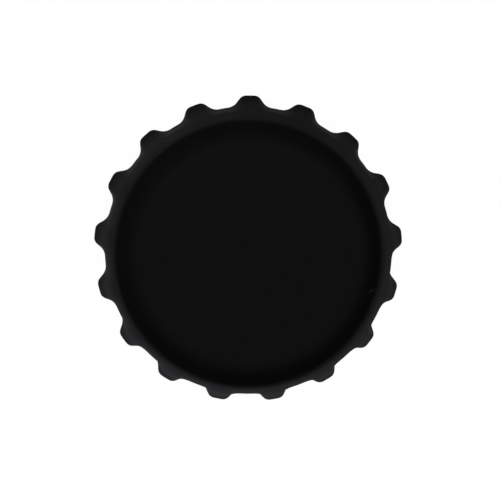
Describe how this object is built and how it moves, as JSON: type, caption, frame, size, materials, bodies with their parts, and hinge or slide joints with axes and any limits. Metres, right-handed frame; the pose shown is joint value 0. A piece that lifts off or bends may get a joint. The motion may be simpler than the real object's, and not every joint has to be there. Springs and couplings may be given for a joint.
{
  "type": "crown bottle cap",
  "caption": "Black crown cap for a bottle: flat panel, rounded shoulder and a fluted skirt that flares into teeth, with a moulded sealing liner inside.",
  "frame": {"origin": "centre of the plane that the toothed edge stands on", "axes": "+Z along the cap's axis, up through the panel; +X through the middle of a tooth"},
  "size_m": [0.0319, 0.032, 0.006],
  "materials": {
    "black_enamel": "satin black enamel on pressed steel sheet",
    "liner_compound": "smooth moulded sealing compound, pale grey"
  },
  "bodies": {
    "root": {"crown_shell": "black_enamel", "sealing_liner": "liner_compound"}
  },
  "joints": []
}
